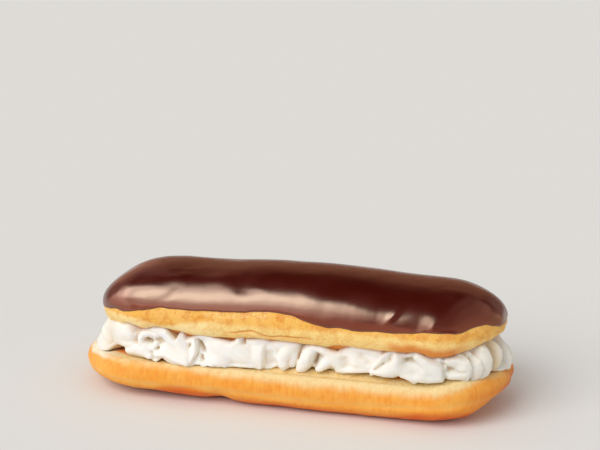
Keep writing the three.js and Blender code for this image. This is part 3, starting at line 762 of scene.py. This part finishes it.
# The cream's upper edge, and its lower edge where it lifts off the dough or drops with it, as (along, up)
creamHeads = [
    (-75, 12.2), (-60, 12.4), (-53.7, 12.6), (-52.2, 11), (-51.2, 10.4), (-50.2, 10.2), (-48.5, 11.4),
    (-45.6, 12.4), (-42.3, 12.5), (-40.5, 11.6), (-38.9, 9.9), (-37.5, 8.4), (-36.9, 8.6), (-36.3, 10.4),
    (-35.5, 11.9), (-34.9, 11.4), (-34.4, 9.4), (-32.9, 8.9), (-31.5, 9.7), (-30.2, 10.4), (-28.8, 11),
    (-26.2, 10.8), (-23.4, 10), (-20.4, 9.5), (-18.2, 9), (-16.8, 9.6), (-15.8, 11.3), (-14.3, 12),
    (-13.7, 11.2), (-13.4, 10.2), (-12.6, 11), (-9.4, 11.4), (4.4, 11.3), (5.4, 10.4), (6.4, 9.6),
    (7.1, 9.9), (10, 10.7), (12.9, 10.4), (15.8, 9), (18.1, 8.4), (18.8, 9.4), (21.1, 10.6), (23.2, 11.8),
    (25.8, 11.4), (29.1, 10.9), (33, 10.7), (35.3, 11), (37, 11.7), (37.6, 11), (38.8, 10.6),
    (41.3, 10.1), (42.7, 11.2), (43.8, 12.6), (44.3, 11.8), (45.2, 11), (47, 10.2), (49.5, 9.6),
    (51, 9.8), (52.6, 10.6), (57, 11), (60.8, 12), (66, 13.2), (71, 13.8), (78, 13), (84, 11.8), (90, 11),
    (100, 11), (110, 11.5), (230, 11.5), (250, 12),
]
creamArches = [
    (-104, 0), (-92, -1.2), (-85, -2), (-78, -2), (-72, -1.7), (-67, -1.2), (-64.8, -0.2), (-63.2, 1.4),
    (-61.6, 2.7), (-60, 3.1), (-58, 2.9), (-57.2, 1.2), (-56.6, 0), (-47.8, 0), (-47.2, 0.7),
    (-46.4, 0.8), (-45.8, 0), (-44.2, 0), (-42.3, 1.5), (-41, 0.8), (-40, 0.3), (-38, -0.2),
    (-31.4, -0.3), (-30.6, 0.3), (-28.6, 0.4), (-28, -0.2), (-27, -0.2), (-26, 0.2), (-24.8, 0.4),
    (-23, 0.2), (-20.8, 0.1), (-12, 0.2), (-10.5, 0), (-4.5, 0), (-3.6, 0.7), (-2.4, 0.9), (-1.7, 0),
    (0, 0), (0.8, 0.8), (1.9, 0.9), (2.8, 0), (7.2, 0), (8.2, 1), (9, 1.5), (9.8, 0.7), (10.3, 0),
    (13.6, 0), (14.4, 0.8), (15.4, 1), (16.4, 0.6), (17, 0.1), (25, 0), (26, 0.4), (28, 0.5), (29, 0),
    (34.5, 0), (36.5, 0.4), (38.5, 1.4), (40.6, 1.7), (42.2, 1.0), (43.4, 0.1), (53, 0), (53.7, 0.6),
    (54.3, 0), (59.6, 0), (60.8, 0.7), (62.5, 1.6), (64, 1.7), (66, 2.6), (68, 2.4), (70, 2.8), (73, 2.4),
    (76, 1.6), (79, 0.7), (82, 0.2), (90, 0), (104, 0),
]

# Hollows pressed in from one (along, up) to another, then depth and width
creamDabs = [
    ((-48.2, 7.1), (-46.4, 6.6), 2.2, 0.8), ((-44, 4.6), (-43.7, 4.6), 1.9, 0.6),
    ((-29, 7.6), (-27.8, 5.2), 3.0, 0.75), ((-28.2, 3.2), (-27.9, 2.2), 2.2, 0.6),
    ((-13.7, 9.7), (-13.4, 9.1), 1.4, 0.6), ((-11, 5.7), (-10.8, 4), 0.2, 1.5),
    ((-4.6, 5.4), (-4.2, 2.8), 1.7, 1.6), ((6.1, 9.4), (4.7, 4.8), 1.2, 0.5),
    ((11, 6.1), (10.3, 3.9), 2.4, 0.9), ((20.8, 5.8), (21.2, 4.4), 1.5, 1.5),
    ((26.4, 7.6), (28.2, 6), 1.2, 1.4), ((31.1, 4), (33.5, 6.1), 1.0, 0.6),
    ((34.1, 7.6), (35.7, 9.1), 0.8, 1.2), ((40.8, 7.2), (43.8, 5), 1.2, 1.8),
    ((47.8, 10.4), (52.4, 7.8), 1.4, 0.8), ((53.7, 5.2), (58.8, 5.1), 0.8, 0.5),
    ((53, 7.2), (53.8, 1.4), 1.2, 0.6),
]


def wallRelief(ups, along):
    parts = {name: np.interp(ups, *np.array(places).T)[:, None] for name, places in creamWall.items()}
    wall = parts["left"]
    for name, reach in wallAlong.items():
        wall = mix(wall, parts[name], within(along, *reach))
    return wall


def fromLine(spots, start, step):  # how far along a straight line each spot lies, and its offset from it
    t = np.clip((spots - start) @ step / (step @ step), 0, 1)
    return t, spots - start - t[..., None] * step


def layStroke(relief, spots, stroke, meet):
    depth, path, *sides = stroke
    first, second = sides[0] if sides else (1, 1)
    room, steep = 9, 6  # how far past its ends it is worked out, and how it falls beyond its width
    path = np.array(path, float)
    columns = np.abs(spots[0, :, 0] - path[:, 0].mean()) < np.ptp(path[:, 0]) / 2 + room
    near = spots[:, columns]
    nearest, height = np.full(near.shape[:2], np.inf), np.zeros(near.shape[:2])
    for start, end in zip(path[:-1], path[1:]):
        step = end[:2] - start[:2]
        t, offset = fromLine(near, start[:2], step)
        away = np.linalg.norm(offset, axis=-1)
        onSecond = step[0] * offset[..., 1] - step[1] * offset[..., 0] > 0
        share = away / (mix(start[3], end[3], t) * np.where(onSecond, second, first))
        fall = depth * (1 - np.sqrt(np.maximum(1 - share ** 2, 0))) + steep * np.maximum(share - 1, 0)
        height = np.where(away < nearest, mix(start[2], end[2], t) - fall, height)
        nearest = np.minimum(nearest, away)
    under = relief[:, columns]
    joined = np.maximum(meet - np.abs(under - height), 0)
    relief[:, columns] = np.maximum(under, height) + joined ** 2 / (4 * meet)


def backStrokes(petals):  # plain petals, a little uneven, round the back
    strokes = []
    draw = np.random.default_rng(petals["seed"])
    place = petals["from"]
    while place < petals["to"]:
        out = petals["out"] + draw.uniform(*petals["uneven"])
        path = [(place + along, up, out + more, petals["width"]) for along, up, more in petals["path"]]
        strokes.append((petals["depth"], path, petals["sides"]))
        place += draw.uniform(petals["narrowest"], petals["widest"])
    return strokes


def soften(relief, passes):
    for _ in range(passes):
        relief = (np.roll(relief, 1, 1) + 2 * relief + np.roll(relief, -1, 1)) / 4
        tall = np.pad(relief, ((1, 1), (0, 0)), "edge")
        relief = (tall[:-2] + 2 * relief + tall[2:]) / 4
    return relief


def creamRelief(size, along, place, ups):  # how far out the cream comes, and how hollow it is, which sets its painted shade
    spots = np.stack(np.broadcast_arrays(along, ups[:, None]), -1).astype(float)
    relief = wallRelief(ups, place)
    for stroke in (*creamStrokes.values(), *backStrokes(backPetals)):
        layStroke(relief, spots, stroke, size["meet"])
    flare = size["flare"] * within(place, *size["flareAlong"])
    relief = relief + flare * (1 - ease(ups, *size["flareUp"]))[:, None]
    relief = soften(relief, size["softPasses"])
    for start, end, depth, width in creamDabs:
        offset = fromLine(spots, start, np.subtract(end, start))[1]
        relief = relief - depth * bump(np.linalg.norm(offset, axis=-1), 0, width)
    # painted shade, deeper in the hollows and in the shaded spots listed
    hollow = np.clip((soften(relief, size["hollowPasses"]) - relief) / size["hollowDepth"], 0, 1)
    for centre, spread, share in size["shaded"]:
        hollow = np.maximum(hollow, share * bump(place, centre, spread))
    return relief, hollow


def makeCream(size):
    low = nodeSize("cream_filling")[0]
    line = Outline(size["length"], size["width"], size["corner"])
    front = np.arange(size["frontFrom"], size["frontTo"], size["frontStep"])
    back = np.arange(size["frontTo"], size["frontFrom"] + line.round, size["backStep"])
    along = np.concatenate([front, back])
    leftSide = along > line.round / 2
    place = np.where(leftSide, along - line.round, along)  # the left end counts back from the front
    ups = np.arange(size["reliefFrom"], size["reliefTo"], size["reliefStep"])
    relief, hollow = creamRelief(size, along, place, ups)

    def ringAt(out, up):
        x, y, _ = line.at(along, out)
        return np.stack([x + size["shiftX"], y, low[2] + np.broadcast_to(up, x.shape)], -1)

    def edgeUp(places):
        return soften(np.interp(along, *np.array(places).T, period=line.round)[None], 1)[0]

    def reliefAt(values, up):
        row = (up - ups[0]) / size["reliefStep"]
        below = np.clip(np.floor(row).astype(int), 0, len(ups) - 2)
        column = np.arange(len(along))
        return mix(values[below, column], values[below + 1, column], row - below)

    head, foot = edgeUp(creamHeads), edgeUp(creamArches) - size["sunk"]
    rings, folds = [], []
    for t in np.linspace(0, 1, size["rows"]):
        up = mix(foot, head, t)
        out = reliefAt(relief, up)
        for gap, radius in ((up - foot, size["footRound"]), (head - up, size["headRound"])):
            near = np.clip(1 - gap / radius, 0, 1)
            out = out - radius * (1 - np.sqrt(1 - near ** 2))
        rings.append(ringAt(out, up))
        folds.append(reliefAt(hollow, up))

    # the hidden middle, from the floor up to the foot and from the head in to the roof
    footOut = reliefAt(relief, foot) - size["footRound"]
    headOut = reliefAt(relief, head) - size["headRound"]
    floorUp, roofUp = -size["sunk"], size["innerHead"]
    nearFoot, nearFloor = (footOut - inward for inward in size["footIn"])
    nearHead, neck = (headOut - inward for inward in size["headIn"])
    neck = np.minimum(size["neckOut"], neck)
    under = [ringAt(size["innerOut"], floorUp), ringAt(nearFloor, mix(foot, floorUp, 0.5)),
             ringAt(nearFoot, foot)]
    over = [ringAt(nearHead, head), ringAt(neck, mix(head, roofUp, size["neckUp"])),
            ringAt(size["innerOut"], roofUp)]
    reach = size["spineReach"]
    spine = np.clip(under[0][:, 0], size["shiftX"] - reach, size["shiftX"] + reach)
    floor, roof = (np.stack([spine, 0 * spine, 0 * spine + low[2] + up], -1) for up in (floorUp, roofUp))
    rings = np.array([floor, *under, *rings, *over, roof])
    hidden = 1 + len(under)
    # the fold mark is painted shade in the hollows
    folds = np.pad(folds, ((hidden, hidden), (0, 0)), constant_values=1)
    rings = pushOut(rings, roughen(rings, size["relief"]), hidden, hidden)
    # painted shade on the side turned from the light
    greyShade = np.broadcast_to(within(place, *size["greyShade"]), folds.shape)
    return loftPiece("piped_cream", rings, {"fold": folds, "greyShade": greyShade})


# Finishes

doughColours = {
    "gold": paint(246, 166, 62), "deep": paint(230, 124, 34), "pale": paint(250, 188, 92),
    "ring": paint(242, 216, 160), "ringShade": paint(234, 194, 122), "smear": paint(254, 244, 224),
    # the inside colour is painted shade on the cut face under the cream
    # the low colour is darker towards the foot and also carries the painted shade of the right end
    "inside": paint(232, 136, 42), "low": paint(224, 96, 10), "line": paint(252, 196, 104),
    # the wrinkle colour is painted shade in the crease of the cut face
    "wrinkle": paint(216, 158, 80),
}
lidColours = {
    "gold": paint(242, 184, 84), "deep": paint(224, 140, 50), "pale": paint(250, 218, 144),
    # the crack colour is painted shade in the cracks
    # the under colour is painted shade on the lip's edge and inner slope, and also the darker lower band on
    # the right front
    "shade": paint(238, 184, 96), "crack": paint(214, 130, 44), "under": paint(222, 128, 40),
    # the lip colour is a painted highlight on the front left
    "pits": paint(254, 230, 172), "lip": paint(254, 230, 170),
}
doughSurface = {
    "Subsurface Weight": 0.12, "Subsurface Radius": (1.0, 0.6, 0.3), "Subsurface Scale": 0.0008,
    "Specular IOR Level": 0.3,
}


def doughNormal(tone):
    grain = noiseTone(tone, 0.9, 4.0) + 0.5 * noiseTone(tone, 2.8, 3.0)
    return bumpNormal(tone, grain, 0.5, 0.3)


def friedDough(colours):
    material, tone = newFinish("fried_dough")
    mottle = noiseTone(tone, 7, 4.0).between(0.35, 0.68)
    streak = noiseTone(tone, 1.2, 3.0, stretch=(1, 1, 0.3)).between(0.4, 0.72)
    speck = noiseTone(tone, 0.7, 2.0).between(0.56, 0.72)
    crumb = markTone(tone, "crumb")
    colour = (mottle * 0.6).blend(colours["gold"], colours["pale"])
    colour = (streak * 0.36 + speck * 0.16).blend(colour, colours["deep"])
    # low darkens towards the foot and lays painted shade on the right end
    colour = layMarks(tone, colour, colours, {"line": 0.5 + 0.4 * mottle, "low": 0.75 + 0.25 * mottle})
    ring = (streak * 0.5 + speck * 0.3).blend(colours["ring"], colours["ringShade"])
    colour = markTone(tone, "pale").blend(colour, ring)
    shelf = noiseTone(tone, 1.3, 3.0).between(0.42, 0.7).blend(colours["ring"], colours["ringShade"])
    colour = crumb.blend(colour, shelf)
    # inside lays painted shade on the cut face under the cream
    # wrinkle lays painted shade in the crease of the cut face
    shares = {"wrinkle": 0.45 + 0.4 * speck, "smear": 0.5 + 0.5 * mottle, "inside": 0.9}
    colour = layMarks(tone, colour, colours, shares)
    rough = 0.5 + 0.2 * crumb + 0.1 * mottle
    closeFinish(tone, doughSurface, colour, rough, Normal=doughNormal(tone))
    return material


def lidDough(colours):
    material, tone = newFinish("lid_dough")
    mottle = noiseTone(tone, 6, 4.0).between(0.35, 0.68)
    blotch = noiseTone(tone, 3.2, 4.0).between(0.46, 0.62)
    speck = noiseTone(tone, 0.7, 2.0).between(0.52, 0.66)
    dots = noiseTone(tone, 0.42, 1.0).between(0.54, 0.62)
    crust = (blotch * 0.6 + speck * 0.4).blend(colours["gold"], colours["deep"])
    under = (mottle * 0.3 + blotch * 0.4 + speck * 0.5).blend(colours["pale"], colours["shade"])
    colour = (markTone(tone, "gold") * (0.75 + 0.25 * mottle)).blend(under, crust)
    # crack lays painted shade in the cracks
    # lip lays the painted highlight on the front left
    # under lays painted shade on the lip and its inner slope
    shares = {"lip": 0.8 - 0.4 * blotch, "under": 0.85, "crack": 2.2, "pits": dots * 0.75}
    colour = layMarks(tone, colour, colours, shares)
    rough = 0.52 + 0.15 * mottle
    closeFinish(tone, doughSurface, colour, rough, Normal=doughNormal(tone))
    return material


creamColours = {
    # the grey colour here is painted shade on the side turned from the light
    "white": paint(247, 246, 243), "warm": paint(247, 243, 234), "greyShade": paint(230, 233, 230),
    # the fold colour is painted shade, warm tan in the hollows
    "fold": paint(228, 204, 162),
}
creamSurface = {
    "Subsurface Weight": 0.6, "Subsurface Radius": (1.0, 0.85, 0.65), "Subsurface Scale": 0.0025,
    "Specular IOR Level": 0.3,
}


def whippedCream(colours):
    material, tone = newFinish("whipped_cream")
    cloud = noiseTone(tone, 9, 2.0).between(0.3, 0.7)
    colour = (cloud * 0.5).blend(colours["white"], colours["warm"])
    # fold lays painted shade in the hollows
    # the grey mark lays painted shade on the side turned from the light
    colour = layMarks(tone, colour, colours, {"greyShade": 0.75, "fold": 0.9})
    rough = 0.38 + 0.16 * cloud
    normal = bumpNormal(tone, noiseTone(tone, 0.6, 3.0), 0.08, 0.2)
    closeFinish(tone, creamSurface, colour, rough, Normal=normal)
    return material


icingColours = {"dark": paint(72, 11, 3), "brown": paint(78, 14, 5), "edge": paint(100, 38, 26)}
icingSurface = {"IOR": 1.8, "Specular IOR Level": 1.0, "Specular Tint": (1.0, 0.70, 0.55, 1.0)}


def chocolateIcing(colours):
    material, tone = newFinish("chocolate_icing")
    cloud = noiseTone(tone, 14, 3.0).between(0.3, 0.7)
    colour = layMarks(tone, cloud.blend(colours["dark"], colours["brown"]), colours, {"edge": 0.8})
    rough = 0.19 + 0.06 * cloud + 0.2 * markTone(tone, "dull")
    normal = bumpNormal(tone, noiseTone(tone, 4.5, 0.6), 0.26, 0.3)  # faint ripples
    closeFinish(tone, icingSurface, colour, rough, Normal=normal)
    return material


dress(makeBottomHalf(bottomHalf), "bottom_half", friedDough(doughColours))
dress(makeLid(lid), "top_half", lidDough(lidColours))
dress(makeIcing(icing), "chocolate_icing", chocolateIcing(icingColours))
dress(makeCream(cream), "cream_filling", whippedCream(creamColours))
print("pieces made and dressed")


# Stage, light and camera, in metres

stage = {
    "floorSize": 12.0, "floorColour": paint(236, 235, 233),
    "target": (0.0, 0.0, 0.020),
    "world": (1.0, 0.97, 0.93), "worldStrength": 0.52,
}

# Softboxes that only the gloss mirrors, facing down unless they say otherwise
softboxes = {
    "core": {
        "place": (-1.75, 0.3, 1.98), "size": (2.9, 1.7), "glow": 2.0, "colour": (0.84, 1.0, 0.96),
        "round": True, "turn": -10},
    "coreFront": {
        "place": (-0.8, -0.24, 1.99), "size": (1.4, 1.24), "glow": 1.6, "colour": (0.82, 1.0, 0.9),
        "round": True},
    "coreWide": {
        "place": (-0.95, -0.48, 1.96), "size": (1.7, 2.1), "glow": 0.55, "colour": (0.9, 1.0, 0.9),
        "round": True},
    "coreLeft": {
        "place": (-3.0, 0.85, 1.97), "size": (2.4, 2.1), "glow": 1.5, "colour": (1.0, 0.8, 0.72),
        "round": True, "turn": -14},
    "overhead": {
        "place": (-1.9, -0.75, 2.0), "size": (3.5, 3.9), "glow": 1.32, "colour": (1.0, 0.72, 0.66),
        "round": True},
    "left": {
        "place": (-2.6, -0.45, 1.15), "size": (3.1, 0.8), "glow": 1.7, "colour": (1.0, 0.74, 0.66),
        "facing": (1, 0, 0)},
    "leftLow": {
        "place": (-2.6, -0.45, 0.4), "size": (3.1, 0.7), "glow": 1.25, "colour": (1.0, 0.6, 0.5),
        "facing": (1, 0, 0)},
    "front": {
        "place": (-1.0, -2.0, 1.1), "size": (3.4, 1.8), "glow": 0.8, "colour": (1.0, 0.49, 0.36),
        "facing": (0, 1, 0)},
    "right": {
        "place": (2.45, 1.2, 1.0), "size": (6.4, 2.0), "glow": 0.62, "colour": (1.0, 0.62, 0.42),
        "facing": (-1, 0, 0)},
    "rightBehind": {
        "place": (2.3, 6.6, 1.0), "size": (4.8, 2.4), "glow": 0.3, "colour": (1.0, 0.6, 0.5),
        "facing": (-0.9, -0.43, 0)},
    "rightAbove": {
        "place": (1.35, 1.2, 2.0), "size": (2.2, 6.4), "glow": 0.2, "colour": (1.0, 0.55, 0.44)},
    "rightMiddle": {
        "place": (1.6, 1.2, 2.01), "size": (1.7, 6.4), "glow": 0.18, "colour": (1.0, 0.55, 0.44)},
    "rightFar": {
        "place": (1.85, 1.2, 2.02), "size": (1.2, 6.4), "glow": 0.2, "colour": (1.0, 0.55, 0.44)},
    "behind": {
        "place": (-0.9, 2.4, 0.45), "size": (2.6, 0.9), "glow": 0.4, "colour": (1.0, 0.5, 0.3),
        "facing": (0, -1, 0)},
    "behindLeft": {
        "place": (-2.0, 2.0, 0.8), "size": (2.0, 1.6), "glow": 0.27, "colour": (1.0, 0.56, 0.46),
        "facing": (0.5, -0.86, 0)},
}
daylight = {"azimuth": -32.0, "elevation": 38.0, "distance": 3.0, "strength": 1.79, "softness": 50.0}
photoCamera = {
    "azimuth": 15.0, "elevation": 19.0, "distance": 0.45,
    "focalPixels": 1296.0,  # focal length in pixels of the photo
    "frame": (600, 450),
    "targetPixel": (296.2, 331.0),  # where the target lies in the photo
    "sensor": 36.0,  # millimetres
}


def around(spot):  # place and facing, where azimuth 0 is straight in front and rises to the right
    a, e = math.radians(spot["azimuth"]), math.radians(spot["elevation"])
    back = Vector((math.sin(a) * math.cos(e), -math.cos(a) * math.cos(e), math.sin(e)))
    return Vector(stage["target"]) + back * spot["distance"], (-back).to_track_quat("-Z", "Y")


def makeFloor():
    mesh = bpy.data.meshes.new("floor")
    shape = bmesh.new()
    bmesh.ops.create_circle(shape, cap_ends=True, segments=96, radius=stage["floorSize"] / 2)
    shape.to_mesh(mesh)
    shape.free()
    floor = addObject("floor", mesh)
    material, tone = newFinish("pale_floor")
    closeFinish(tone, {"Specular IOR Level": 0.0}, stage["floorColour"], 0.9)
    mesh.materials.append(material)


def hang(name, data, place, facing):  # a lamp or the camera
    holder = addObject(name, data)
    holder.rotation_mode = "QUATERNION"
    holder.location, holder.rotation_quaternion = place, facing
    holder.visible_camera = False
    return holder


def makeLights():
    for name, box in softboxes.items():
        lamp = bpy.data.lights.new(name, "AREA")
        lamp.shape = "ELLIPSE" if box.get("round") else "RECTANGLE"
        lamp.size, lamp.size_y = box["size"]
        area = lamp.size * lamp.size_y * (math.pi / 4 if box.get("round") else 1)
        lamp.energy = box["glow"] * math.pi * area
        lamp.color = box["colour"]
        turn = Quaternion((0, 0, 1), math.radians(box.get("turn", 0)))
        facing = turn @ Vector(box.get("facing", (0, 0, -1))).to_track_quat("-Z", "Y")
        hang(name, lamp, box["place"], facing).visible_diffuse = False
    sun = bpy.data.lights.new("daylight", "SUN")
    sun.energy = daylight["strength"]
    sun.angle = math.radians(daylight["softness"])
    hang("daylight", sun, *around(daylight)).visible_glossy = False
    world = bpy.data.worlds.new("studio")
    world.use_nodes = True
    backdrop = world.node_tree.nodes["Background"]
    backdrop.inputs["Color"].default_value = (*stage["world"], 1.0)
    backdrop.inputs["Strength"].default_value = stage["worldStrength"]
    world.cycles_visibility.glossy = False
    bpy.context.scene.world = world


def makeCamera(shot):
    lens = bpy.data.cameras.new("photo_camera")
    width, height = shot["frame"]
    lens.sensor_width = shot["sensor"]
    lens.lens = lens.sensor_width * shot["focalPixels"] / width
    lens.shift_x = (width / 2 - shot["targetPixel"][0]) / width
    lens.shift_y = (shot["targetPixel"][1] - height / 2) / width
    bpy.context.scene.camera = hang("photo_camera", lens, *around(shot))


makeFloor()
makeLights()
makeCamera(photoCamera)
bpy.context.scene.view_settings.view_transform = "Standard"
print("stage, light and camera set")
